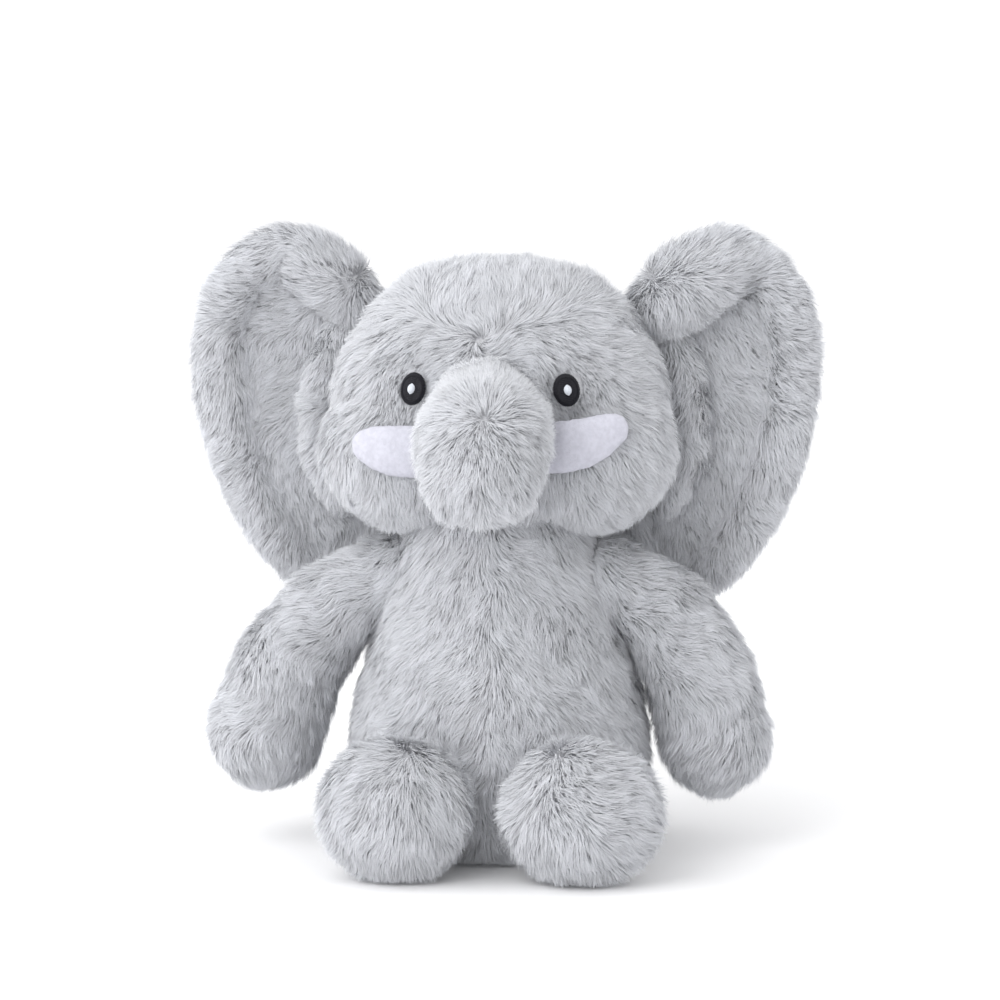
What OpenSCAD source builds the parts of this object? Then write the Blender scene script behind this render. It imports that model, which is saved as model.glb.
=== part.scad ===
// Stuffed elephant, sitting, in long-pile plush.
// Frame: +Z up, the face looks along -Y, the elephant's own left side is +X.
// The origin is the centre of the flat seat that the toy rests on. Millimetres.
// Each soft piece is drawn at its outer fur surface.

/* [Torso] */
// Widest radius of the belly
belly_r = 63; // [58:0.5:66]
// Height of the widest part of the belly
belly_z = 42; // [38:1:46]
// Radius of the flat seat
seat_r = 44; // [40:1:48]
// Radius of the neck opening
neck_r = 38; // [34:0.5:40]

/* [Head] */
// Width of the head over the cheeks
head_w = 136; // [132:1:140]
// Height and depth of the head
head_d = 110; // [108:1:112]
// Height of the head's centre
head_z = 189; // [187:1:191]

/* [Eyes] */
// Distance between the eye centres
eye_gap = 62; // [58:1:66]
// Height of the eyes above the head's centre
eye_up = 8; // [6:0.5:10]
// Width of an eye
eye_w = 10.4; // [8:0.2:12]
// Height of an eye
eye_h = 13.2; // [10:0.2:15]

/* [Trunk] */
// Radius of the trunk where it leaves the face
trunk_r = 26; // [24:0.5:26.5]
// Radius of the trunk at its bend
trunk_bend_r = 28; // [26:0.5:28.5]
// Radius of the trunk's tip
trunk_tip_r = 20; // [18:0.5:22]

/* [Ears] */
// Thickness of an ear
ear_t = 14; // [12:1:15]
// Height of an ear
ear_h = 144; // [140:2:150]
// Width of an ear
ear_w = 70; // [62:1:72]

/* [Limbs] */
// Radius of an arm at its shoulder seam
arm_root_r = 15; // [13:0.5:15]
// Radius of the hand
hand_r = 23; // [19:0.5:24]
// Radius of a leg at its hip seam
leg_root_r = 22; // [20:0.5:22]
// Radius of a foot
foot_r = 28; // [25:0.5:28]
// Length of a leg from the hip seam to the sole
leg_len = 46; // [42:1:50]

/* [Tusks and tail] */
// Length of a tusk outside its seam
tusk_len = 30; // [26:1:32]
// Height of a tusk at its seam
tusk_h = 20; // [16:1:21]
// Thickness of a stuffed tusk
tusk_t = 8; // [6:0.5:9]
// Length of the tail
tail_len = 26; // [22:1:28]

/* [Fabric] */
// Thickness of the pile fabric
pile_t = 6; // [4:0.5:7]

/* [Hidden] */
$fn = 48;

big = 800;                  // side of the cutting blocks
seam_gap = 0.5;             // clearance between the head and its neck seat
head_half_w = head_w / 2;
head_r = head_d / 2;

// Colours
fur_grey = [0.80, 0.81, 0.84];
fur_shade = [0.72, 0.73, 0.76];
wadding = [0.96, 0.96, 0.94];
thread_grey = [0.62, 0.63, 0.66];
eye_black = [0.06, 0.06, 0.08];
glint_white = [0.85, 0.87, 0.90];
tusk_white = [0.95, 0.95, 0.98];
pellet_clear = [0.86, 0.90, 0.92];

// Joint centres
neck_z = neck_seat_z(neck_r);
trunk_root = [0, -46, 184];
trunk_bend = [0, -78, 178];
trunk_end = [0, -92, 163.5];
shoulder = [50, -3, 112];
hip = [33, -52, foot_r];
ear_hinge = [60, 30];
tusk_root = [24, -48, 172];
tail_root = [0, 61.5, 44];

// Radii of the hollows that let each joint turn
bend_socket_r = trunk_bend_r + seam_gap;
shoulder_socket_r = 23;
hip_socket_r = 28;
ear_groove_r = 11;
tail_socket_r = 9;

// The neck seat follows the lowest surface that the head sweeps as it turns.
function neck_seat_z(r) =
    head_z - (head_r + seam_gap) * sqrt(1 - pow(r / (head_half_w + seam_gap), 2));

// Radius of the pear-shaped torso at height z.
function pear_r(z) =
    z < belly_z
    ? seat_r + (belly_r - seat_r) * sqrt(1 - pow(1 - z / belly_z, 2))
    : neck_r + (belly_r - neck_r)
      * pow((1 + cos(180 * (z - belly_z) / (neck_z - belly_z))) / 2, 0.85);

function ellipse(a, b, steps) =
    [for (i = [0 : steps - 1]) [a * cos(360 * i / steps), b * sin(360 * i / steps)]];

module half_space(direction) {
    translate(direction * big / 2) cube(big, center = true);
}

module mirrored(side) {
    if (side > 0) children();
    else mirror([1, 0, 0]) children();
}

// ---- Torso ----

seat_panel_r = seat_r - pile_t;
torso_steps = 16;
torso_heights = [for (i = [0 : torso_steps]) neck_z * i / torso_steps];

// spare makes the wall's outer face that much wider.
module torso_wall_profile(spare = 0) {
    inner = [for (z = torso_heights) if (z > pile_t) [pear_r(z) - pile_t, z]];
    top = len(inner) - 1;
    polygon(concat(
        [[seat_panel_r, 0]],
        [for (z = torso_heights) [pear_r(z) + spare, z]],
        [[neck_r - pile_t, neck_seat_z(neck_r - pile_t)]],
        [for (i = [1 : top]) inner[top - i]],
        [[pear_r(pile_t) - pile_t, pile_t], [seat_panel_r, pile_t]]
    ));
}

module torso_stuffing_profile() {
    seat_steps = 6;
    wall = [for (z = torso_heights) if (z > pile_t && z < neck_z - 1) [pear_r(z) - pile_t, z]];
    polygon(concat(
        [[0, pile_t], [pear_r(pile_t) - pile_t, pile_t]],
        wall,
        [for (i = [seat_steps : -1 : 0])
            let (r = (neck_r - pile_t) * i / seat_steps) [r, neck_seat_z(r)]]
    ));
}

module limb_sockets() {
    for (side = [1, -1]) mirrored(side) {
        translate(shoulder) sphere(shoulder_socket_r);
        translate(hip) sphere(hip_socket_r);
    }
    translate(tail_root) sphere(tail_socket_r);
}

// start is the angle about Z at which this quarter of the wall begins, on the toy's left.
module torso_panel(side, start) {
    color(fur_grey) mirrored(side)
    difference() {
        rotate([0, 0, start]) rotate_extrude(angle = 90) torso_wall_profile();
        limb_sockets();
    }
}

module torso_seat_panel() {
    color(fur_shade)
    difference() {
        cylinder(h = pile_t, r = seat_panel_r);
        limb_sockets();
    }
}

pouch_r = 26;
pouch_half_h = 10;
pouch_z = 19;
pouch_wall = 1.2;

module lens(r, half_h) {
    translate([0, 0, pouch_z]) rotate_extrude()
        polygon([for (a = [-90 : 10 : 90]) [r * cos(a), half_h * sin(a)]]);
}

module torso_stuffing() {
    color(wadding)
    difference() {
        rotate_extrude() torso_stuffing_profile();
        limb_sockets();
        lens(pouch_r, pouch_half_h);
    }
}

module pellet_pouch() {
    color(wadding)
    difference() {
        lens(pouch_r, pouch_half_h);
        lens(pouch_r - pouch_wall, pouch_half_h - pouch_wall);
    }
}

module pellet_fill() {
    color(pellet_clear) lens(pouch_r - pouch_wall, pouch_half_h - pouch_wall);
}

// Ladder stitches across the seam that closes the back after stuffing.
stitch_count = 6;
stitch_pitch = 7;
stitch_len = 5;
stitch_r = 0.6;
stitch_first_z = 60;
stitch_gap = 0.12;          // the cloth's own give below a stitch

module back_closing_stitches() {
    color(thread_grey)
    difference() {
        for (i = [0 : stitch_count - 1])
            let (z = stitch_first_z + i * stitch_pitch)
                translate([0, pear_r(z), z])
                    rotate([0, 90, 0]) cylinder(h = stitch_len, r = stitch_r, center = true);
        rotate_extrude() torso_wall_profile(stitch_gap);
    }
}

neck_thread_r = 1.5;
neck_thread_gap = 0.4;      // clearance between this thread and the torso's rim

module neck_seam_thread() {
    color(thread_grey)
    translate([0, 0, neck_z - neck_thread_r])
        rotate_extrude() translate([neck_r + neck_thread_gap + neck_thread_r, 0]) circle(neck_thread_r);
}

// ---- Head ----

gusset_half_w = 24;

module spheroid(half_w, r) {
    translate([0, 0, head_z]) rotate([0, 90, 0]) rotate_extrude()
        polygon([for (a = [-90 : 9 : 90]) [r * cos(a), half_w * sin(a)]]);
}

module head_openings() {
    trunk_root_solid(0);
    translate(trunk_bend) sphere(bend_socket_r);
    for (side = [1, -1]) mirrored(side)
        translate([ear_hinge[0], ear_hinge[1], head_z]) cylinder(h = head_d, r = ear_groove_r, center = true);
}

module head_cover() {
    difference() {
        spheroid(head_half_w, head_r);
        spheroid(head_half_w - pile_t, head_r - pile_t);
        head_openings();
    }
}

module head_cheek(side) {
    color(fur_grey) mirrored(side)
    intersection() {
        head_cover();
        translate([gusset_half_w, 0, 0]) half_space([1, 0, 0]);
    }
}

module gusset_band() {
    translate([0, 0, head_z]) cube([2 * gusset_half_w, big, big], center = true);
}

// The chin lies below the trunk, and the gusset runs from its top over the crown.
module chin_block() {
    translate([0, -big / 2, trunk_root[2] - big / 2]) cube(big, center = true);
}

module head_crown_gusset() {
    color(fur_grey)
    difference() {
        intersection() { head_cover(); gusset_band(); }
        chin_block();
    }
}

module head_chin_panel() {
    color(fur_grey)
    intersection() { head_cover(); gusset_band(); chin_block(); }
}

module head_stuffing() {
    color(wadding)
    difference() {
        spheroid(head_half_w - pile_t, head_r - pile_t);
        head_openings();
    }
}

// ---- Eyes: embroidered ovals with a pale glint ----

eye_t = 2.4;
eye_gap_behind = 0.2;       // the thread's thickness between an eye and the cheek
glint_w = 3.1;
glint_h = 3.7;
glint_from = 0.4;           // the glint's back, measured from the cheek at the eye's centre
glint_proud = 0.4;
eye_turn = 22;              // how far an eye looks outwards
eye_tilt = 5;               // how far it looks up

module on_face(side) {
    half = eye_gap / 2;
    depth = head_r * sqrt(1 - pow(half / head_half_w, 2) - pow(eye_up / head_r, 2));
    mirrored(side) translate([half, -depth, head_z + eye_up])
        rotate([90 - eye_tilt, 0, eye_turn]) children();
}

// The stitched oval lies on the cheek, so the head's surface is its back.
module eye(side) {
    color(eye_black)
    difference() {
        on_face(side) difference() {
            translate([0, 0, -eye_t / 2]) linear_extrude(eye_t)
                polygon(ellipse(eye_w / 2, eye_h / 2, 36));
            translate([0, 0, glint_from]) linear_extrude(eye_t)
                polygon(ellipse(glint_w / 2, glint_h / 2, 24));
        }
        spheroid(head_half_w + eye_gap_behind, head_r + eye_gap_behind);
    }
}

module eye_glint(side) {
    color(glint_white) on_face(side)
        translate([0, 0, glint_from]) linear_extrude(eye_t / 2 + glint_proud - glint_from)
            polygon(ellipse(glint_w / 2, glint_h / 2, 24));
}

// ---- Trunk: a root section sewn to the face and a tip that bends from it ----

trunk_overlap = 16;         // how far the root section stops short of the bend centre
trunk_flare = 3;            // how much wider than the bend the root section would end
cone_inset = 0.2;           // cones lie this far inside the balls that they join

// A cone between two ball centres in the plane x = 0.
module trunk_cone(p, q, r1, r2, stop_short) {
    run = norm(q - p);
    share = (run - stop_short) / run;
    translate(p) rotate([90 + atan2(p[2] - q[2], p[1] - q[1]), 0, 0])
        cylinder(h = run * share, r1 = r1 - cone_inset, r2 = r1 + (r2 - r1) * share - cone_inset);
}

module trunk_root_solid(inset) {
    difference() {
        union() {
            translate(trunk_root) sphere(trunk_r - inset);
            trunk_cone(trunk_root, trunk_bend, trunk_r - inset, trunk_bend_r + trunk_flare - inset,
                       trunk_overlap);
        }
        translate(trunk_bend) sphere(bend_socket_r);
    }
}

module trunk_tip_solid(inset) {
    union() {
        translate(trunk_bend) sphere(trunk_bend_r - inset);
        trunk_cone(trunk_bend, trunk_end, trunk_bend_r - inset, trunk_tip_r - inset, 0);
        translate(trunk_end) sphere(trunk_tip_r - inset);
    }
}

module trunk_half(side) {
    color(fur_grey) mirrored(side)
    intersection() {
        difference() { trunk_root_solid(0); trunk_root_solid(pile_t); }
        half_space([1, 0, 0]);
    }
}

module trunk_stuffing() {
    color(wadding) trunk_root_solid(pile_t);
}

module trunk_tip_half(side) {
    color(fur_grey) mirrored(side)
    intersection() {
        difference() { trunk_tip_solid(0); trunk_tip_solid(pile_t); }
        half_space([1, 0, 0]);
    }
}

module trunk_tip_stuffing() {
    color(wadding) trunk_tip_solid(pile_t);
}

// ---- Ears ----

ear_back_t = 5;
ear_dish = 3.5;             // depth of the hollow in the ear's front
ear_rim = 18;               // width of the rolled rim around that hollow
ear_pad_t = 3.5;
ear_seam = 3;               // the back panel stops this far inside the rim

ear_centre = [89, 187];
ear_egg = 0.22;             // how much broader the top is than the lobe
ear_lean = 8;               // how far the top leans outwards

// Egg outline, broad at the top and narrow at the lobe.
module ear_outline(inset) {
    translate(ear_centre) rotate(-ear_lean) polygon([for (a = [0 : 7.5 : 352.5])
        [(ear_w / 2 - inset) * cos(a) * (1 + ear_egg * sin(a)), (ear_h / 2 - inset) * sin(a)]]);
}

// A slice of the ear between two distances in front of its back face.
module ear_slice(inset, from, to) {
    translate([0, ear_hinge[1] + ear_t / 2 - from, 0]) rotate([90, 0, 0])
        linear_extrude(to - from) ear_outline(inset);
}

module ear_front(side) {
    color(fur_grey) mirrored(side)
    difference() {
        ear_slice(0, ear_back_t, ear_t);
        ear_slice(pile_t, ear_back_t, ear_back_t + ear_pad_t);
        ear_slice(ear_rim, ear_t - ear_dish, ear_t + 1);
    }
}

module ear_back(side) {
    color(fur_shade) mirrored(side) ear_slice(ear_seam, 0, ear_back_t);
}

module ear_padding(side) {
    color(wadding) mirrored(side) ear_slice(pile_t, ear_back_t, ear_back_t + ear_pad_t);
}

// ---- Tusks ----

tusk_rise = 11;             // how far a tusk points up
tusk_sweep = 20;            // how far it leans back along the cheek
tusk_wall = 1.2;

tusk_belly = 0.62;          // how full the lower edge is, against a half circle
tusk_flat = 0.38;           // the same for the upper edge

// Outline with a nearly straight top edge, a full lower edge and a round tip.
module tusk_outline(inset) {
    half = tusk_h / 2 - inset;
    reach = tusk_len - inset;
    polygon(concat(
        [[0, -half], [reach * 0.3, -half]],
        [for (a = [-80 : 10 : 80])
            [reach * 0.3 + reach * 0.7 * cos(a),
             half * sin(a) + half * 2 * (a < 0 ? tusk_flat : tusk_belly - tusk_flat) * (1 - abs(sin(a)))]],
        [[reach * 0.3, half], [0, half]]
    ));
}

// The seam is where the tusk meets the cheek and the trunk.
module tusk_solid(inset) {
    difference() {
        translate(tusk_root) rotate([0, -tusk_rise, tusk_sweep]) rotate([90, 0, 0])
            linear_extrude(tusk_t - 2 * inset, center = true) tusk_outline(inset);
        spheroid(head_half_w, head_r);
        trunk_root_solid(0);
    }
}

module tusk_cover(side) {
    color(tusk_white) mirrored(side)
    difference() { tusk_solid(0); tusk_solid(tusk_wall); }
}

module tusk_filling(side) {
    color(wadding) mirrored(side) tusk_solid(tusk_wall);
}

// ---- Arms: a bent, tapering bag ----

elbow_a = [69, -3, 98.5];
elbow_b = [82, -3, 75];
hand = [90, -3, 49];

module arm_cone(p, q, r1, r2) {
    translate(p) rotate([0, atan2(q[0] - p[0], q[2] - p[2]), 0])
        cylinder(h = norm(q - p), r1 = r1 - cone_inset, r2 = r2 - cone_inset);
}

module arm_solid(inset) {
    centres = [shoulder, elbow_a, elbow_b, hand];
    step = (hand_r - arm_root_r) / (len(centres) - 1);
    union()
        for (i = [0 : len(centres) - 1])
            let (r = arm_root_r + step * i - inset) {
                translate(centres[i]) sphere(r);
                if (i < len(centres) - 1) arm_cone(centres[i], centres[i + 1], r, r + step);
            }
}

// facing is -1 for the front half and 1 for the back half.
module arm_panel(side, facing) {
    color(facing < 0 ? fur_grey : fur_shade) mirrored(side)
    intersection() {
        difference() { arm_solid(0); arm_solid(pile_t); }
        translate([0, shoulder[1], 0]) half_space([0, facing, 0]);
    }
}

module arm_stuffing(side) {
    color(wadding) mirrored(side) arm_solid(pile_t);
}

// ---- Legs: each points forwards and ends in a round sole ----

leg_splay = 6;
foot_round = 8;             // radius of the roll around the sole
foot_from = 26;             // distance from the hip at which the foot is full width

module leg_profile(inset) {
    end = leg_len - inset;
    r = foot_r - inset;
    polygon(concat(
        [for (a = [-90 : 10 : 0]) (leg_root_r - inset) * [cos(a), sin(a)]],
        [[r, foot_from]],
        [for (a = [0 : 15 : 90]) [r - foot_round * (1 - cos(a)), end - foot_round * (1 - sin(a))]],
        [[0, end]]
    ));
}

module along_leg(side) {
    mirrored(side) translate(hip) rotate([90, 0, leg_splay]) children();
}

module leg_solid(inset) {
    rotate_extrude() leg_profile(inset);
}

// The sole panel is the last part of the foot inside its roll.
module sole_block() {
    translate([0, 0, leg_len - pile_t]) cylinder(h = 2 * pile_t, r = foot_r - foot_round);
}

// facing is 1 for the upper half and -1 for the half that lies on the floor.
module leg_panel(side, facing) {
    color(fur_grey) along_leg(side)
    difference() {
        intersection() {
            leg_solid(0);
            half_space([0, facing, 0]);
        }
        leg_solid(pile_t);
        sole_block();
    }
}

module sole(side) {
    color(fur_shade) along_leg(side) intersection() { leg_solid(0); sole_block(); }
}

module leg_stuffing(side) {
    color(wadding) along_leg(side) leg_solid(pile_t);
}

// ---- Tail ----

tail_slope = 50;            // angle below the horizontal
tail_r = 4.5;
tuft_r = 7;
tuft_len = 20;

module along_tail() {
    translate(tail_root) rotate([-90 - tail_slope, 0, 0]) children();
}

module tail_cover() {
    color(fur_grey) along_tail()
    rotate_extrude() polygon(concat(
        [for (a = [-90 : 15 : 0]) tail_r * [cos(a), sin(a)]],
        [[tail_r, tail_len - tuft_len], [0, tail_len - tuft_len]]
    ));
}

module tail_tuft() {
    color(fur_shade) along_tail()
    rotate_extrude() polygon(concat(
        [[0, tail_len - tuft_len], [tail_r, tail_len - tuft_len]],
        [for (a = [-30 : 15 : 90]) [tuft_r * cos(a), tail_len - tuft_r + tuft_r * sin(a)]]
    ));
}

torso_panel(1, -90);  // torso_front_left
torso_panel(-1, -90);  // torso_front_right
torso_panel(1, 0);  // torso_back_left
torso_panel(-1, 0);  // torso_back_right
torso_seat_panel();
torso_stuffing();
pellet_pouch();
pellet_fill();
back_closing_stitches();
neck_seam_thread();
head_cheek(1);  // head_left_cheek
head_cheek(-1);  // head_right_cheek
head_crown_gusset();
head_chin_panel();
head_stuffing();
eye(1);  // left_eye
eye(-1);  // right_eye
eye_glint(1);  // left_eye_glint
eye_glint(-1);  // right_eye_glint
trunk_half(1);  // trunk_left_half
trunk_half(-1);  // trunk_right_half
trunk_stuffing();
trunk_tip_half(1);  // trunk_tip_left_half
trunk_tip_half(-1);  // trunk_tip_right_half
trunk_tip_stuffing();
ear_front(1);  // left_ear_front
ear_back(1);  // left_ear_back
ear_padding(1);  // left_ear_padding
ear_front(-1);  // right_ear_front
ear_back(-1);  // right_ear_back
ear_padding(-1);  // right_ear_padding
tusk_cover(1);  // left_tusk_cover
tusk_filling(1);  // left_tusk_filling
tusk_cover(-1);  // right_tusk_cover
tusk_filling(-1);  // right_tusk_filling
arm_panel(1, -1);  // left_arm_front
arm_panel(1, 1);  // left_arm_back
arm_stuffing(1);  // left_arm_stuffing
arm_panel(-1, -1);  // right_arm_front
arm_panel(-1, 1);  // right_arm_back
arm_stuffing(-1);  // right_arm_stuffing
leg_panel(1, 1);  // left_leg_upper
leg_panel(1, -1);  // left_leg_under
sole(1);  // left_sole
leg_stuffing(1);  // left_leg_stuffing
leg_panel(-1, 1);  // right_leg_upper
leg_panel(-1, -1);  // right_leg_under
sole(-1);  // right_sole
leg_stuffing(-1);  // right_leg_stuffing
tail_cover();
tail_tuft();
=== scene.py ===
"""The sitting plush elephant in its studio: skins, pile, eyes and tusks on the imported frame."""

import math

import bmesh
import bpy
import numpy as np
from mathutils import Matrix, Vector


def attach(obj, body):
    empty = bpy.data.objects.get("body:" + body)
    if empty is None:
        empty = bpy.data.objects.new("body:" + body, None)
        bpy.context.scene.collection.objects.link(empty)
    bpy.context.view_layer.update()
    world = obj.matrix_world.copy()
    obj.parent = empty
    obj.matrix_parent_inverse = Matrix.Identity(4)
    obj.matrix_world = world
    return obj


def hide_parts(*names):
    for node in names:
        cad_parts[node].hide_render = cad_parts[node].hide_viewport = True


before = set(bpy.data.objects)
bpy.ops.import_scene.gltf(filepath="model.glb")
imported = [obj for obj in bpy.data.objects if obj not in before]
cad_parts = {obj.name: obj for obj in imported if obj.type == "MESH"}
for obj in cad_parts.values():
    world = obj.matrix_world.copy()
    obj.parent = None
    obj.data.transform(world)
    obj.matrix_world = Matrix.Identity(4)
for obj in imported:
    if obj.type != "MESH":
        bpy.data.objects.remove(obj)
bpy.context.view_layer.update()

MM = 0.001
SIDES = {"left": 1, "right": -1}   # the elephant's own left is +X
UV_NAME = "OFBake"                 # one layer for every strand: u is its tone, v runs from root to tip

# Camera and light. Angles are in degrees, and places and distances in metres.
CAMERA_LENS = 138.5
CAMERA_AZIMUTH = 5
CAMERA_ELEVATION = 7
CAMERA_DISTANCE = 1.6
CAMERA_AIM = (0, 0, 0.1447)
LIGHT_AIM = (0, 0, 0.13)
SKY_STRENGTH = 1.13
FLOOR_REACH = 20

# Pile. Lengths are in millimetres, and density is in strands for each square millimetre.
# The root colour is painted shade: the strands darken towards their roots, where the depths of the pile are
# shaded.
PILE_ROOT_SHADE = (0.58, 0.585, 0.61)
PILE_TIP = (0.80, 0.81, 0.835)
PILE_LENGTH = 9.5
PILE_DENSITY = 3.7
STRAND_WIDTH = 0.34
ROOT_DEPTH = 0.4
TUFT_SIZE = 3.8
MOST_STRANDS = 60000               # strands in one piece


def add_object(name, data):
    obj = bpy.data.objects.new(name, data)
    bpy.context.scene.collection.objects.link(obj)
    return obj


def read_vectors(elements, attribute):
    """One row of x, y and z for each element of a mesh."""
    values = np.empty(len(elements) * 3)
    elements.foreach_get(attribute, values)
    return values.reshape(-1, 3)


# ---- Camera, light and floor ----

def add_camera():
    data = bpy.data.cameras.new("camera")
    data.lens = CAMERA_LENS
    data.sensor_width = 36
    camera = add_object("camera", data)
    azimuth = math.radians(CAMERA_AZIMUTH)
    elevation = math.radians(CAMERA_ELEVATION)
    back = Vector((math.sin(azimuth) * math.cos(elevation),
                   -math.cos(azimuth) * math.cos(elevation),
                   math.sin(elevation)))
    camera.location = Vector(CAMERA_AIM) + back * CAMERA_DISTANCE
    camera.rotation_mode = "QUATERNION"
    camera.rotation_quaternion = (-back).to_track_quat("-Z", "Y")
    bpy.context.scene.camera = camera


def add_area_light(name, place, size, power):
    data = bpy.data.lights.new(name, "AREA")
    data.size = size
    data.energy = power
    light = add_object(name, data)
    light.location = place
    light.rotation_mode = "QUATERNION"
    light.rotation_quaternion = (Vector(LIGHT_AIM) - Vector(place)).to_track_quat("-Z", "Y")


def add_studio():
    world = bpy.data.worlds.new("studio")
    world.use_nodes = True
    background = world.node_tree.nodes["Background"]
    background.inputs["Color"].default_value = (1, 1, 1, 1)
    background.inputs["Strength"].default_value = SKY_STRENGTH
    bpy.context.scene.world = world
    bpy.context.scene.view_settings.view_transform = "Standard"
    add_area_light("key", (-1.3, -1.2, 1.4), 2.2, 31)
    add_area_light("front", (-0.7, -1.9, 0.4), 1.4, 10)
    mesh = bpy.data.meshes.new("floor")
    corners = [(x * FLOOR_REACH, y * FLOOR_REACH, 0) for x, y in ((-1, -1), (1, -1), (1, 1), (-1, 1))]
    mesh.from_pydata(corners, [], [(0, 1, 2, 3)])
    floor = add_object("floor", mesh)
    mesh.materials.append(new_material("floor_white", (0.93, 0.93, 0.94), 0.9))


# ---- Materials ----

def new_material(name, colour, roughness, sheen=0.0):
    material = bpy.data.materials.new(name)
    material.use_nodes = True
    shader = material.node_tree.nodes["Principled BSDF"]
    shader.inputs["Base Color"].default_value = (*colour, 1)
    shader.inputs["Roughness"].default_value = roughness
    shader.inputs["Specular IOR Level"].default_value = 0.15
    shader.inputs["Sheen Weight"].default_value = sheen
    return material


def mottle(material, low, high, scale, bump=0.0, bump_scale=1.0):
    """Gives the base colour a fine mottle between two colours, and a bump of the same grain."""
    tree = material.node_tree
    shader = tree.nodes["Principled BSDF"]
    place = tree.nodes.new("ShaderNodeTexCoord")
    noise = tree.nodes.new("ShaderNodeTexNoise")
    noise.inputs["Scale"].default_value = scale
    noise.inputs["Detail"].default_value = 5
    ramp = tree.nodes.new("ShaderNodeValToRGB")
    ramp.color_ramp.elements[0].position = 0.35
    ramp.color_ramp.elements[0].color = (*low, 1)
    ramp.color_ramp.elements[1].position = 0.65
    ramp.color_ramp.elements[1].color = (*high, 1)
    tree.links.new(place.outputs["Object"], noise.inputs["Vector"])
    tree.links.new(noise.outputs["Fac"], ramp.inputs["Fac"])
    tree.links.new(ramp.outputs["Color"], shader.inputs["Base Color"])
    if bump:
        grain = tree.nodes.new("ShaderNodeTexNoise")
        grain.inputs["Scale"].default_value = scale * bump_scale
        grain.inputs["Detail"].default_value = 3
        relief = tree.nodes.new("ShaderNodeBump")
        relief.inputs["Strength"].default_value = bump
        relief.inputs["Distance"].default_value = 0.4 * MM
        tree.links.new(place.outputs["Object"], grain.inputs["Vector"])
        tree.links.new(grain.outputs["Fac"], relief.inputs["Height"])
        tree.links.new(relief.outputs["Normal"], shader.inputs["Normal"])
    return material


def pile_material():
    """Pile that is darker at its roots, which is painted shade for the depths of the pile, with a tone for
    each strand. It lets some light through.
    """
    material = bpy.data.materials.new("pile")
    material.use_nodes = True
    tree = material.node_tree
    tree.nodes.remove(tree.nodes["Principled BSDF"])
    out = tree.nodes["Material Output"]
    place = tree.nodes.new("ShaderNodeUVMap")
    place.uv_map = UV_NAME
    split = tree.nodes.new("ShaderNodeSeparateXYZ")
    along = tree.nodes.new("ShaderNodeValToRGB")
    # Painted shade: the ramp darkens each strand towards its root.
    along.color_ramp.elements[0].position = 0.05
    along.color_ramp.elements[0].color = (*PILE_ROOT_SHADE, 1)
    along.color_ramp.elements[1].position = 0.75
    along.color_ramp.elements[1].color = (*PILE_TIP, 1)
    tone = tree.nodes.new("ShaderNodeMapRange")
    tone.inputs["To Min"].default_value = 0.88
    tone.inputs["To Max"].default_value = 1.10
    scale = tree.nodes.new("ShaderNodeVectorMath")
    scale.operation = "SCALE"
    facing = tree.nodes.new("ShaderNodeBsdfDiffuse")
    facing.inputs["Roughness"].default_value = 0.6
    through = tree.nodes.new("ShaderNodeBsdfTranslucent")
    blend = tree.nodes.new("ShaderNodeMixShader")
    blend.inputs["Fac"].default_value = 0.4
    tree.links.new(place.outputs["UV"], split.inputs["Vector"])
    tree.links.new(split.outputs["Y"], along.inputs["Fac"])
    tree.links.new(split.outputs["X"], tone.inputs["Value"])
    tree.links.new(along.outputs["Color"], scale.inputs[0])
    tree.links.new(tone.outputs["Result"], scale.inputs["Scale"])
    tree.links.new(scale.outputs["Vector"], facing.inputs["Color"])
    tree.links.new(scale.outputs["Vector"], through.inputs["Color"])
    tree.links.new(facing.outputs["BSDF"], blend.inputs[1])
    tree.links.new(through.outputs["BSDF"], blend.inputs[2])
    tree.links.new(blend.outputs["Shader"], out.inputs["Surface"])
    return material


# ---- Repeatable noise ----

CORNERS = [(i, j, k) for i in (0, 1) for j in (0, 1) for k in (0, 1)]
NEIGHBOURS = [(i, j, k) for i in (-1, 0, 1) for j in (-1, 0, 1) for k in (-1, 0, 1)]


def lattice(cell, seed):
    """The same number from 0 to 1 each time for a whole-number cell."""
    mixed = cell[:, 0] * 73856093 ^ cell[:, 1] * 19349663 ^ cell[:, 2] * 83492791 ^ seed * 40503
    mixed = (mixed ^ (mixed >> 13)) * 1274126177
    mixed = (mixed ^ (mixed >> 16)) * 668265263
    return ((mixed >> 8) & 0xFFFF) / 0xFFFF


def lumps(points, size, seed):
    """Smooth noise from -1 to 1, with lumps about that size."""
    q = points / size
    cell = np.floor(q).astype(np.int64)
    f = q - cell
    f = f * f * (3 - 2 * f)
    total = np.zeros(len(points))
    for corner in CORNERS:
        weight = np.prod(np.where(corner, f, 1 - f), axis=1)
        total += weight * lattice(cell + np.array(corner), seed)
    return total * 2 - 1


def tufts(points, size, seed):
    """The nearest tuft centre to each point, and a number from 0 to 1 for that tuft."""
    base = np.floor(points / size).astype(np.int64)
    nearest = np.full(len(points), np.inf)
    centre, key = points.copy(), np.zeros(len(points))
    for neighbour in NEIGHBOURS:
        cell = base + np.array(neighbour)
        place = (cell + np.stack([lattice(cell, seed + k) for k in range(3)], axis=1)) * size
        gap = ((place - points) ** 2).sum(axis=1)
        closer = gap < nearest
        nearest[closer] = gap[closer]
        centre[closer] = place[closer]
        key[closer] = lattice(cell, seed + 3)[closer]
    return centre, key


def unit(v):
    return v / np.maximum(np.linalg.norm(v, axis=1, keepdims=True), 1e-9)


def across(v, n):
    """The part of each v that lies along the surface with normal n, as a unit vector."""
    return unit(v - n * (v * n).sum(axis=1, keepdims=True))


# ---- Skins: overlapping balls made into one smooth closed surface ----

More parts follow.
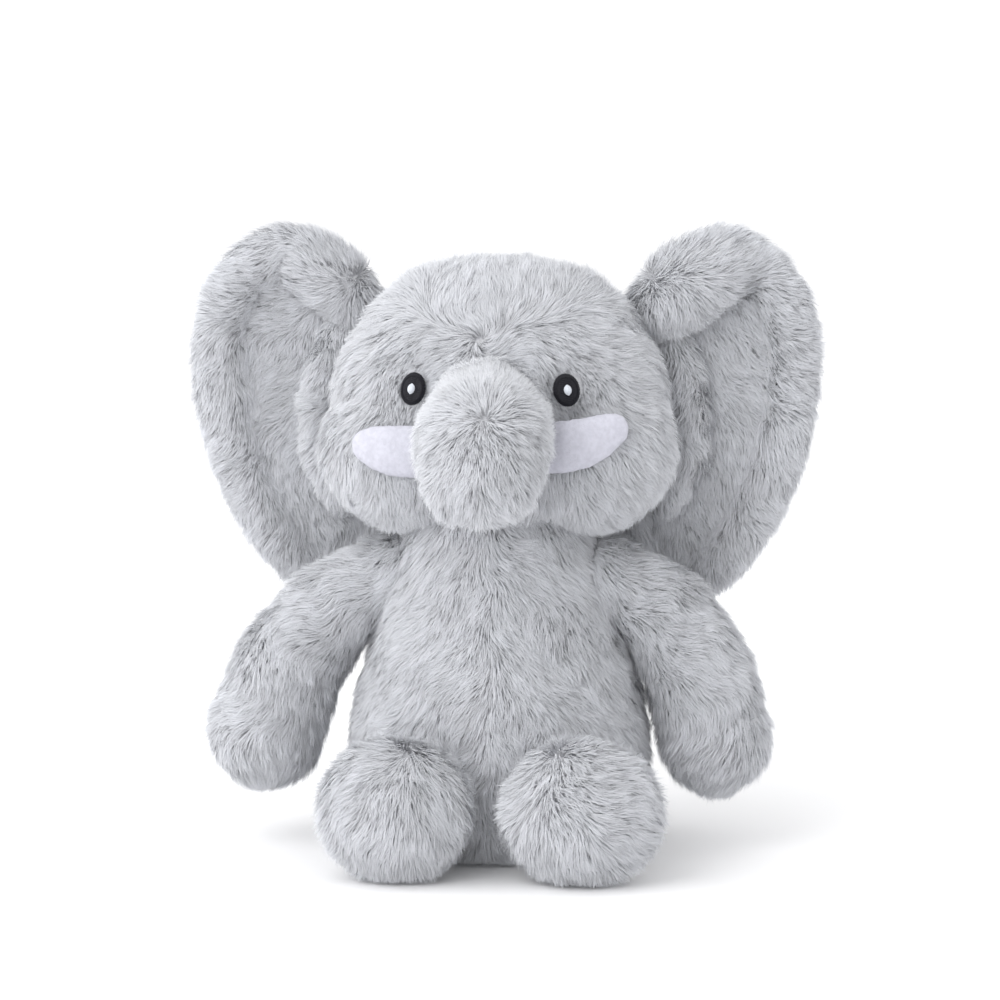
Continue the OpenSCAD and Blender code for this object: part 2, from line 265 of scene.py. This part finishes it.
def ball(mesh, centre, radii):
    """Adds an ellipsoid. Centre and radii are in millimetres."""
    if not hasattr(radii, "__len__"):
        radii = (radii,) * 3
    if max(radii) > 25:
        fineness = 4
    elif max(radii) > 12:
        fineness = 3
    else:
        fineness = 2
    matrix = Matrix.Translation(Vector(centre) * MM) @ Matrix.Diagonal((*[r * MM for r in radii], 1))
    bmesh.ops.create_icosphere(mesh, subdivisions=fineness, radius=1, matrix=matrix)


def bag(mesh, points, radii, step=2.0):
    """Adds balls along a bent line, with the radius changing evenly between its points."""
    for i in range(len(points) - 1):
        a = np.array(points[i], float)
        b = np.array(points[i + 1], float)
        count = max(1, int(np.linalg.norm(b - a) / step))
        for k in range(count + 1):
            share = k / count
            ball(mesh, a + (b - a) * share, radii[i] + (radii[i + 1] - radii[i]) * share)


def skin(name, build, body, voxel=1.6, rounds=8, stands_for=(), slot="fur"):
    """Makes the balls that build() adds into one smooth skin that rides on a body."""
    bm = bmesh.new()
    build(bm)
    rough = bpy.data.meshes.new(name + "_rough")
    bm.to_mesh(rough)
    bm.free()
    obj = add_object(name, rough)
    remesh = obj.modifiers.new("remesh", "REMESH")
    remesh.mode = "VOXEL"
    remesh.voxel_size = voxel * MM
    remesh.use_smooth_shade = True
    smooth = obj.modifiers.new("smooth", "SMOOTH")
    smooth.factor = 0.5
    smooth.iterations = rounds
    evaluated = obj.evaluated_get(bpy.context.evaluated_depsgraph_get())
    obj.data = bpy.data.meshes.new_from_object(evaluated)
    obj.modifiers.clear()
    bpy.data.meshes.remove(rough)
    obj.data.name = name
    obj.data.materials.clear()
    obj.data.materials.append(skin_material if slot == "fur" else tusk_material)
    co = read_vectors(obj.data.vertices, "co")
    co[:, 2] = np.maximum(co[:, 2], 0.6 * MM)   # the seat and the feet are pressed flat by the floor
    obj.data.vertices.foreach_set("co", co.ravel())
    obj.data.update()
    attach(obj, body)
    if stands_for:
        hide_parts(*stands_for)
    return obj


# ---- Pile: a tapering bent ribbon for each strand ----

def scatter(obj, density, rng):
    """Points spread evenly over a skin, with its smooth normals."""
    mesh = obj.data
    mesh.calc_loop_triangles()
    corners = np.empty(len(mesh.loop_triangles) * 3, np.int64)
    mesh.loop_triangles.foreach_get("vertices", corners)
    corners = corners.reshape(-1, 3)
    co = read_vectors(mesh.vertices, "co")
    normals = read_vectors(mesh.vertices, "normal")
    a, b, c = co[corners[:, 0]], co[corners[:, 1]], co[corners[:, 2]]
    area = np.linalg.norm(np.cross(b - a, c - a), axis=1) / 2
    total = area.sum() / MM ** 2
    number = int(density * total)
    chosen = rng.choice(len(area), number, p=area / area.sum())
    u, v = rng.random((2, number))
    fold = u + v > 1
    u[fold], v[fold] = 1 - u[fold], 1 - v[fold]
    weights = np.stack([1 - u - v, u, v], axis=1)
    points = (co[corners[chosen]] * weights[:, :, None]).sum(axis=1)
    facing = unit((normals[corners[chosen]] * weights[:, :, None]).sum(axis=1))
    return points, facing


def pile(name, obj, body, flow, seed, length=PILE_LENGTH, density=PILE_DENSITY, keep=None, trim=None,
         swirl=1.0, lift=1.0):
    """Grows pile on a skin. flow(p, n) is the way it is brushed, keep(p) is where it grows, and
    trim(p) is its share of the full length. swirl scales how much the brushing wanders, and lift
    makes it stand up."""
    rng = np.random.default_rng(seed)
    p, n = scatter(obj, density, rng)
    wanted = p[:, 2] > 0.8 * MM
    if keep is not None:
        wanted &= keep(p)
    p, n = p[wanted], n[wanted]
    count = len(p)
    t = across(flow(p, n), n)
    b = np.cross(n, t)
    wander = 0.8 * lumps(p, 19 * MM, seed) + 0.6 * lumps(p, 8 * MM, seed + 11)
    turn = swirl * wander + rng.normal(0, 0.2, count)
    t = t * np.cos(turn)[:, None] + b * np.sin(turn)[:, None]
    centre, key = tufts(p, TUFT_SIZE * MM, seed + 23)
    pull = centre - p
    pull -= n * (pull * n).sum(axis=1, keepdims=True)
    swell = 1 + 0.35 * lumps(p, 11 * MM, seed + 37) + 0.25 * (key - 0.5)
    rise = lift * swell + rng.normal(0, 0.08, count)
    full = length * MM * (0.82 + 0.25 * key + rng.normal(0, 0.09, count))
    if trim is not None:
        full *= trim(p)
    low = unit(n * (0.95 * rise)[:, None] + t * 0.55)
    high = unit(n * (0.34 * rise)[:, None] + t)
    middle = p + low * (full * 0.5)[:, None] + pull * 0.10
    tip = middle + high * (full * 0.55)[:, None] + pull * 0.20
    root = p - n * ROOT_DEPTH * MM
    for place in (middle, tip):   # no strand goes through the floor
        place[:, 2] = np.maximum(place[:, 2], 0.25 * MM + 0.3 * MM * key)
    stem, end = unit(middle - root), unit(tip - middle)
    roll = rng.uniform(-0.7, 0.7, count)[:, None]
    side = unit(np.cross(stem, n) + 1e-6)
    side = unit(side * np.cos(roll) + np.cross(stem, side) * np.sin(roll))
    width = (STRAND_WIDTH * MM * rng.uniform(0.8, 1.25, count))[:, None]
    co = np.stack([root - side * width / 2, root + side * width / 2,
                   middle + side * width * 0.43, middle - side * width * 0.43, tip], axis=1)
    # The normals lean on the skin's own, so that the pile is lit as one soft surface.
    soft = unit(n + 0.2 * rng.normal(0, 1, (count, 3)))
    bright_low = unit(soft - 0.5 * stem * (soft * stem).sum(axis=1, keepdims=True))
    bright_high = unit(soft - 0.5 * end * (soft * end).sum(axis=1, keepdims=True))
    shade = np.stack([bright_low, bright_low, bright_high, bright_high, bright_high], axis=1)
    tone = 0.5 + 0.16 * lumps(p, 9 * MM, seed + 51) + 0.22 * (key - 0.5) + rng.normal(0, 0.12, count)
    tone = np.clip(tone, 0.03, 0.97)
    uv = np.zeros((count, 5, 2))
    uv[:, :, 0] = tone[:, None] + np.array([-1, 1, 1, -1, 0]) * 0.02
    uv[:, :, 1] = [0.01, 0.01, 0.5, 0.5, 0.99]
    for k, start in enumerate(range(0, count, MOST_STRANDS)):
        part = slice(start, min(start + MOST_STRANDS, count))
        label = name if count <= MOST_STRANDS else f"{name}_{k + 1}"
        ribbons(label, body, co[part], shade[part], uv[part])


def ribbons(name, body, co, shade, uv):
    """One mesh of strands: each is a quad and a triangle over five vertices."""
    count = len(co)
    mesh = bpy.data.meshes.new(name)
    mesh.vertices.add(count * 5)
    mesh.vertices.foreach_set("co", co.ravel())
    first = np.arange(count)[:, None] * 5
    loops = np.concatenate([first + [0, 1, 2, 3], first + [3, 2, 4]], axis=1).ravel()
    mesh.loops.add(count * 7)
    mesh.loops.foreach_set("vertex_index", loops.astype(np.int32))
    mesh.polygons.add(count * 2)
    starts = np.arange(count)[:, None] * 7 + [0, 4]
    mesh.polygons.foreach_set("loop_start", starts.ravel().astype(np.int32))
    layer = mesh.uv_layers.new(name=UV_NAME)
    layer.data.foreach_set("uv", uv.reshape(-1, 2)[loops].ravel())
    mesh.update(calc_edges=True)
    mesh.validate()
    mesh.polygons.foreach_set("use_smooth", np.ones(len(mesh.polygons), bool))
    mesh.normals_split_custom_set_from_vertices(shade.reshape(-1, 3).astype(np.float32))
    mesh.materials.append(fur_material)
    obj = add_object(name, mesh)
    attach(obj, body)


def parting(p, x, width):
    """How pile falls away to both sides of an upright seam near x, which wanders a little."""
    gap = (p[:, 0] - x * MM + 2.5 * MM * lumps(p, 13 * MM, 5)) / (width * MM)
    return np.tanh(1.5 * gap) * np.exp(-gap * gap)


def constant(*v):
    return lambda p, n: np.tile(np.array(v, float), (len(p), 1))


# ---- Torso ----

# Height and half width of the torso, in millimetres. Front to back it is a little thinner.
TORSO_RINGS = [(1, 41), (6, 50), (14, 54.5), (26, 57.5), (40, 58), (54, 56.5), (68, 53.8), (82, 50),
               (96, 45.5), (110, 41.5), (124, 38), (138, 34), (150, 27)]
TORSO_DEPTH = 0.97


def turns(count):
    """Evenly spaced angles around a full turn, in radians."""
    return np.linspace(0, 2 * math.pi, count, endpoint=False)


def build_torso(bm):
    sides = 64
    rings = []
    for z, r in TORSO_RINGS:
        rings.append([bm.verts.new((r * MM * math.cos(a), r * TORSO_DEPTH * MM * math.sin(a), z * MM))
                      for a in turns(sides)])
    for low, high in zip(rings, rings[1:]):
        for i in range(sides):
            j = (i + 1) % sides
            bm.faces.new((low[i], low[j], high[j], high[i]))
    bm.faces.new(list(reversed(rings[0])))
    bm.faces.new(rings[-1])
    for side in (1, -1):
        ball(bm, (side * 41, -2, 112), (13, 15, 17))
        ball(bm, (side * 30, -40, 27), (20, 18, 20))


def torso_flow(p, n):
    v = np.zeros_like(p)
    v[:, 2] = -1
    v[:, 0] = 0.9 * parting(p, 0, 10) + 0.35 * p[:, 0] / (60 * MM)
    return v


# ---- Head ----

def build_head(bm):
    ball(bm, (0, 1, 188), (65.5, 48, 47.5))
    ball(bm, (0, 4, 203), (58, 42, 38.5))
    for side in (1, -1):
        ball(bm, (side * 34.5, -10, 168), (34.5, 35, 30.5))
        ball(bm, (side * 22, 2, 219), (24, 25, 19.5))
    bag(bm, [(0, -34, 188), (0, -52, 184), (0, -66, 179)], [16.5, 19, 21.5])
    ball(bm, (0, -6, 154), (38, 34, 19))


EYE_AT = (31, -47.8, 195.3)   # the left eye's centre, in millimetres


def head_flow(p, n):
    v = unit(p - np.array([-4, -50, 190]) * MM)
    v[:, 2] -= 0.5
    v[:, 0] += 0.4 * lumps(p, 14 * MM, 9)
    crown_seam = (218 + 9 * (p[:, 0] / (45 * MM)) ** 2) * MM + 2 * MM * lumps(p, 12 * MM, 8)
    above = np.tanh((p[:, 2] - crown_seam) / (4 * MM))
    v[:, 2] += 0.6 * above
    v[:, 1] += 0.4 * above
    on_trunk = np.clip((-p[:, 1] - 50 * MM) / (8 * MM), 0, 1)[:, None]
    return v * (1 - on_trunk) + unit(p - np.array([0, -106, 178]) * MM) * on_trunk


def eye_gap(p):
    """Distance from the nearer eye's centre, where 1 is its stitched edge."""
    x = (np.abs(p[:, 0]) - EYE_AT[0] * MM) / (5.6 * MM)
    z = (p[:, 2] - EYE_AT[2] * MM) / (7.0 * MM)
    far = p[:, 1] > -25 * MM
    return np.sqrt(x * x + z * z) + 9 * far


def head_keep(p):
    return (eye_gap(p) > 1.0) & (np.hypot(p[:, 0], p[:, 1]) + (p[:, 2] - 140 * MM) > 28 * MM)


def head_trim(p):
    gap = eye_gap(p)
    return np.clip(0.38 + 0.42 * (gap - 1), 0.38, 1)


# ---- Trunk tip ----

def build_trunk(bm):
    bag(bm, [(0, -79, 176), (0, -84, 170.5), (0, -87, 165)], [23.2, 21, 16.5])
    for side in (1, -1):
        ball(bm, (side * 9, -91, 164), (9.8, 9.5, 13))


def trunk_flow(p, n):
    v = unit(p - np.array([2, -106, 193]) * MM)
    v[:, 2] -= 0.3 * np.clip((190 * MM - p[:, 2]) / (12 * MM), 0, 1)
    v[:, 0] += 1.3 * parting(p, 0, 7) * np.clip((174 * MM - p[:, 2]) / (12 * MM), 0, 1)
    v[:, 0] += 0.55 * lumps(p, 10 * MM, 67)
    return v


# ---- Ears ----

# The middle line of the left ear's rolled rim in x and z, in millimetres. The right ear mirrors it.
EAR_RIM = [(88, 246), (107, 238.5), (118, 219), (119.5, 192), (114, 161), (100, 131), (85, 114), (66, 111),
           (52, 124), (55, 155), (61, 195), (67, 232)]
EAR_MIDDLE = np.array([91.0, 184.0])


def ear_rim(count):
    """Points of a smooth closed line through EAR_RIM, in millimetres."""
    rim = np.array(EAR_RIM, float)
    points = []
    for k in range(count):
        place = k * len(rim) / count
        i, f = int(place), place - int(place)
        a, b, c, d = (rim[(i + j) % len(rim)] for j in (-1, 0, 1, 2))
        points.append(0.5 * (2 * b + (c - a) * f + (2 * a - 5 * b + 4 * c - d) * f * f
                             + (3 * b - a - 3 * c + d) * f ** 3))
    return points


def ear_y(x, z):
    """How far back the ear lies. Its outer edge and its top come forwards, and its lobe goes back."""
    out = max(0.0, (x - 60) / 60)
    rise = (z - 180) / 65
    return 33 - 8 * out ** 2.5 - 5 * rise * abs(rise)


def build_ear(side):
    def build(bm):
        for x, z in ear_rim(90):
            ball(bm, (side * x, ear_y(x, z) - 1.5, z), (8.6, 6.6, 8.6))
        for ring in range(1, 8):
            reach = ring / 8
            for point in ear_rim(int(8 + 44 * reach)):
                x, z = EAR_MIDDLE + (point - EAR_MIDDLE) * reach
                ball(bm, (side * x, ear_y(x, z) + 0.8, z), (7, 5.2, 8))
        if side > 0:   # the top of the left ear is folded well forwards
            bag(bm, [(58, 24, 219), (68, 17, 226), (80, 14, 233.5), (92, 17, 240), (100, 22, 240)],
                [9, 11, 11, 9.5, 7.5])
        else:
            bag(bm, [(-60, 26, 222), (-70, 23, 231), (-82, 22, 239)], [8.5, 9.5, 8.5])
        forwards = 1.5 if side > 0 else 0
        band = [(66, 26, 216), (74, 23, 199), (77, 21.5, 180), (76, 22, 162), (68, 24, 145)]
        bag(bm, [(side * x, y - forwards, z) for x, y, z in band], [6, 6.5, 6.5, 6.5, 6], step=2.5)
    return build


def ear_flow(side):
    def flow(p, n):
        v = 0.8 * (p - np.array([side * 80, 30, 196]) * MM) * np.array([1, 0, 1]) / (40 * MM)
        v[:, 2] -= 0.8
        v[:, 0] += side * 0.35
        back = (n[:, 1] > 0.2)[:, None]
        return np.where(back, np.array([side * 0.5, 0, -1.0]), v)
    return flow


# ---- Arms and legs ----

def build_arm(side):
    out = 0 if side > 0 else 1   # the right arm hangs a little further out than the left one

    def build(bm):
        path = [(side * 49, -3, 112), (side * (70 + 2 * out), -3, 97), (side * (83 + 6 * out), -3, 74),
                (side * (90 + 8 * out), -3, 47)]
        bag(bm, path, [12.5, 16, 18.5, 19 + out])
        ball(bm, (side * (90 + 8 * out), -4, 48), (19 + out, 19.5, 20.5))
    return build


def arm_flow(side):
    def flow(p, n):
        low = np.clip((100 * MM - p[:, 2]) / (50 * MM), 0, 1)[:, None]
        return np.array([side * 0.85, 0, -0.7]) * (1 - low) + np.array([side * 0.28, -0.1, -1.0]) * low
    return flow


def build_leg(side):
    wide, high = (1.14, 1.09) if side > 0 else (1.08, 1.08)   # the left foot is trodden a little wider
    x = 39.5 if side > 0 else -35.5

    def build(bm):
        bag(bm, [(side * 33, -50, 28), (side * 35, -66, 28.5), (x, -76, 29)], [17.5, 21.5, 23])
        ball(bm, (x, -80, 29.5), (24.5 * wide, 13, 23.3 * high))
        ball(bm, (x, -84, 29.5), (20.5 * wide, 11, 19.5 * high))
    return build


def leg_flow(side):
    def flow(p, n):
        out = (p - np.array([side * 37, -84, 34]) * MM) * np.array([1, 0, 1]) / (20 * MM)
        sole = np.clip((-p[:, 1] - 78 * MM) / (8 * MM), 0, 1)[:, None]
        whorl = 0.7 * out + np.array([side * 0.35, 0, -0.8])
        along = out + np.array([0, -0.25, -0.4])
        return along * (1 - sole) + whorl * sole
    return flow


# ---- Tail ----

def build_tail(bm):
    bag(bm, [(0, 55, 47), (0, 62, 39), (0, 68, 30)], [3.4, 3.0, 3.2])
    bag(bm, [(0, 68, 30), (0, 71.5, 24)], [3.2, 4.8])


# ---- Eyes: dense satin stitching in an oval ----

BORDER_STITCHES = 58


def face_matrix(side):
    """The place of an eye: X across it, Y up it and Z out of the face."""
    out = Vector((side * 0.36, -0.93, 0.10)).normalized()
    up = (Vector((side * -0.16, 0, 1)) - out * out.z).normalized()
    right = up.cross(out)
    matrix = Matrix((right, up, out)).transposed().to_4x4()
    matrix.translation = Vector((side * EYE_AT[0], EYE_AT[1], EYE_AT[2])) * MM
    return matrix


def thread(bm, a, b, radius):
    """One stitch: a fat little capsule from a to b."""
    a, b = Vector(a), Vector(b)
    line = b - a
    turn = line.to_track_quat("X", "Z").to_matrix().to_4x4()
    size = Matrix.Diagonal((line.length / 2 + radius * 0.6, radius, radius * 0.8, 1))
    matrix = Matrix.Translation((a + b) / 2) @ turn @ size
    bmesh.ops.create_uvsphere(bm, u_segments=12, v_segments=8, radius=1, matrix=matrix)


def stitched_oval(name, side, half_w, half_h, rows, height, material, stands_for, border=True):
    """An embroidered oval: rows of stitches on a padded bed, with a border of stitches over its edge."""
    bm = bmesh.new()
    bed = Matrix.Diagonal((half_w * MM, half_h * MM, height * MM, 1))
    bmesh.ops.create_uvsphere(bm, u_segments=48, v_segments=20, radius=1, matrix=bed)
    row_radius = half_h / rows * 1.15 * MM
    for i in range(rows):
        y = half_h * (2 * (i + 0.5) / rows - 1) * 0.94
        half = half_w * math.sqrt(max(0, 1 - (y / half_h) ** 2)) * 0.96
        top = height * math.sqrt(max(0, 1 - (y / half_h) ** 2))
        step = max(2, int(half / 1.3))
        for k in range(step):
            x0, x1 = half * (2 * k / step - 1), half * (2 * (k + 1) / step - 1)
            lift = [top * math.sqrt(max(0.0, 1 - (x / max(half, 0.1)) ** 2)) for x in (x0, x1)]
            thread(bm, Vector((x0, y, lift[0])) * MM, Vector((x1, y, lift[1])) * MM, row_radius)
    if border:
        for i in range(BORDER_STITCHES):
            a = 2 * math.pi * i / BORDER_STITCHES
            inner = Vector((0.80 * half_w * math.cos(a), 0.80 * half_h * math.sin(a), height * 0.72)) * MM
            outer = Vector((1.03 * half_w * math.cos(a), 1.03 * half_h * math.sin(a), -0.2)) * MM
            thread(bm, inner, outer, 0.36 * MM)
    bm.transform(face_matrix(side))
    mesh = bpy.data.meshes.new(name)
    bm.to_mesh(mesh)
    bm.free()
    mesh.polygons.foreach_set("use_smooth", np.ones(len(mesh.polygons), bool))
    mesh.materials.append(material)
    obj = add_object(name, mesh)
    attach(obj, "head")
    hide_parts(*stands_for)


# ---- Seam threads, under the pile ----

def tube(name, paths, radius, body, stands_for, closed=False):
    """Round threads of that radius along paths of points, all in millimetres."""
    sides = 10
    bm = bmesh.new()
    for path in paths:
        rings = []
        for i, point in enumerate(path):
            after = path[(i + 1) % len(path)] if closed or i + 1 < len(path) else point
            before = path[i - 1] if closed or i else point
            along = (Vector(after) - Vector(before)).normalized()
            guide = Vector((0, 1, 0.01)) if abs(along.y) < 0.9 else Vector((1, 0, 0))
            up = along.cross(guide).normalized()
            over = along.cross(up)
            ring = []
            for a in turns(sides):
                out = radius * (math.cos(a) * up + math.sin(a) * over)
                ring.append(bm.verts.new((Vector(point) + out) * MM))
            rings.append(ring)
        loops = zip(rings, rings[1:] + rings[:1]) if closed else zip(rings, rings[1:])
        for a, b in loops:
            for k in range(sides):
                bm.faces.new((a[k], a[(k + 1) % sides], b[(k + 1) % sides], b[k]))
        if not closed:
            bm.faces.new(list(reversed(rings[0])))
            bm.faces.new(rings[-1])
    bmesh.ops.recalc_face_normals(bm, faces=bm.faces)
    mesh = bpy.data.meshes.new(name)
    bm.to_mesh(mesh)
    bm.free()
    mesh.materials.append(thread_material)
    obj = add_object(name, mesh)
    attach(obj, body)
    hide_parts(*stands_for)


def neck_ring():
    """The thread that gathers the neck, a little inside the pile."""
    return [(36.4 * math.cos(a), 35.4 * math.sin(a), 132.5) for a in turns(72)]


def back_stitches():
    """Short slanted stitches across the seam in the middle of the back."""
    heights = np.arange(60, 97, 7)
    radii = np.interp(heights, *zip(*TORSO_RINGS))
    return [[(x, TORSO_DEPTH * r + 0.25 - x * x / 120, z + 0.3 * x) for x in np.linspace(-2.5, 2.5, 6)]
            for z, r in zip(heights, radii)]


# ---- Tusks ----

def build_tusk(side):
    rise = 3.2 if side > 0 else 0    # the left tusk points a little higher than the right one

    def build(bm):
        spine = [(22, -51, 170.3 + 0.6 * rise), (31, -52.5, 170.3 + 0.8 * rise),
                 (40, -51.5, 170.5 + 1.3 * rise), (46.5, -49.4, 171.4 + 1.8 * rise),
                 (50.5, -47.4, 172.2 + 2.3 * rise)]
        heights = [11, 11, 10.6, 9.2, 6.8]
        steps = 6
        for i in range(len(spine) - 1):
            a = np.array(spine[i], float)
            b = np.array(spine[i + 1], float)
            for k in range(steps):
                share = k / steps
                h = heights[i] + (heights[i + 1] - heights[i]) * share
                x, y, z = a + (b - a) * share
                ball(bm, (side * x, y, z), (5.5, 4.2, h))
        x, y, z = spine[-1]
        ball(bm, (side * x, y, z), (5.8, 3.6, 6.8))
    return build


# ---- Build it ----

add_camera()
add_studio()
# The backing under the pile is mottled about the darker root grey. That grey is painted shade at the bottom
# of the pile, and the fine mottle is the backing's own grain.
skin_material = mottle(new_material("backing", PILE_ROOT_SHADE, 0.95), (0.53, 0.535, 0.56),
                       (0.63, 0.635, 0.66), 900)
fur_material = pile_material()
tusk_material = mottle(new_material("tusk_cloth", (0.49, 0.49, 0.55), 0.85, sheen=0.1), (0.46, 0.46, 0.52),
                       (0.52, 0.52, 0.585), 500, bump=0.6, bump_scale=3.5)
eye_material = new_material("eye_thread", (0.012, 0.012, 0.016), 0.42)
glint_material = new_material("glint_thread", (0.58, 0.61, 0.66), 0.5)
thread_material = new_material("seam_thread", (0.34, 0.345, 0.37), 0.7)

torso_nodes = ["torso_front_left", "torso_front_right", "torso_back_left", "torso_back_right",
               "torso_seat_panel", "torso_stuffing", "pellet_pouch", "pellet_fill"]
torso = skin("torso_skin", build_torso, "torso", voxel=2.0, stands_for=torso_nodes)
pile("torso_pile", torso, "torso", torso_flow, 101, keep=lambda p: p[:, 2] < 143 * MM)

head_nodes = ["head_left_cheek", "head_right_cheek", "head_crown_gusset", "head_chin_panel", "head_stuffing",
              "trunk_left_half", "trunk_right_half", "trunk_stuffing"]
head = skin("head_skin", build_head, "head", voxel=2.0, stands_for=head_nodes)
pile("head_pile", head, "head", head_flow, 202, keep=head_keep, trim=head_trim)

trunk = skin("trunk_tip_skin", build_trunk, "trunk_tip", voxel=1.2,
             stands_for=["trunk_tip_left_half", "trunk_tip_right_half", "trunk_tip_stuffing"])
pile("trunk_tip_pile", trunk, "trunk_tip", trunk_flow, 303, length=8.0, density=4, swirl=0.7, lift=1.4)

for label, side in SIDES.items():
    ear = skin(label + "_ear_skin", build_ear(side), label + "_ear", voxel=1.6, rounds=9,
               stands_for=[label + "_ear_front", label + "_ear_back", label + "_ear_padding"])
    pile(label + "_ear_pile", ear, label + "_ear", ear_flow(side), 404 + side, length=8.5)
    arm = skin(label + "_arm_skin", build_arm(side), label + "_arm",
               stands_for=[label + "_arm_front", label + "_arm_back", label + "_arm_stuffing"])
    pile(label + "_arm_pile", arm, label + "_arm", arm_flow(side), 505 + side)
    leg = skin(label + "_leg_skin", build_leg(side), label + "_leg",
               stands_for=[label + "_leg_upper", label + "_leg_under", label + "_sole",
                           label + "_leg_stuffing"])
    pile(label + "_leg_pile", leg, label + "_leg", leg_flow(side), 606 + side, density=3.4)
    skin(label + "_tusk_cloth", build_tusk(side), "head", voxel=0.8, rounds=5, slot="tusk_cloth",
         stands_for=[label + "_tusk_cover", label + "_tusk_filling"])
    stitched_oval(label + "_eye_stitching", side, half_w=5.5, half_h=6.5, rows=17, height=1.5,
                  material=eye_material, stands_for=[label + "_eye"])
    stitched_oval(label + "_eye_glint_stitching", side, half_w=2.0, half_h=2.4, rows=6, height=2.9,
                  material=glint_material, stands_for=[label + "_eye_glint"],
                  border=False)

tail = skin("tail_skin", build_tail, "tail", voxel=0.9, stands_for=["tail_cover", "tail_tuft"])
pile("tail_pile", tail, "tail", constant(0, 0.5, -1), 707, length=7, density=4.5)

tube("neck_thread", [neck_ring()], 0.8, "neck", ["neck_seam_thread"], closed=True)
tube("back_closing_threads", back_stitches(), 0.45, "torso", ["back_closing_stitches"])
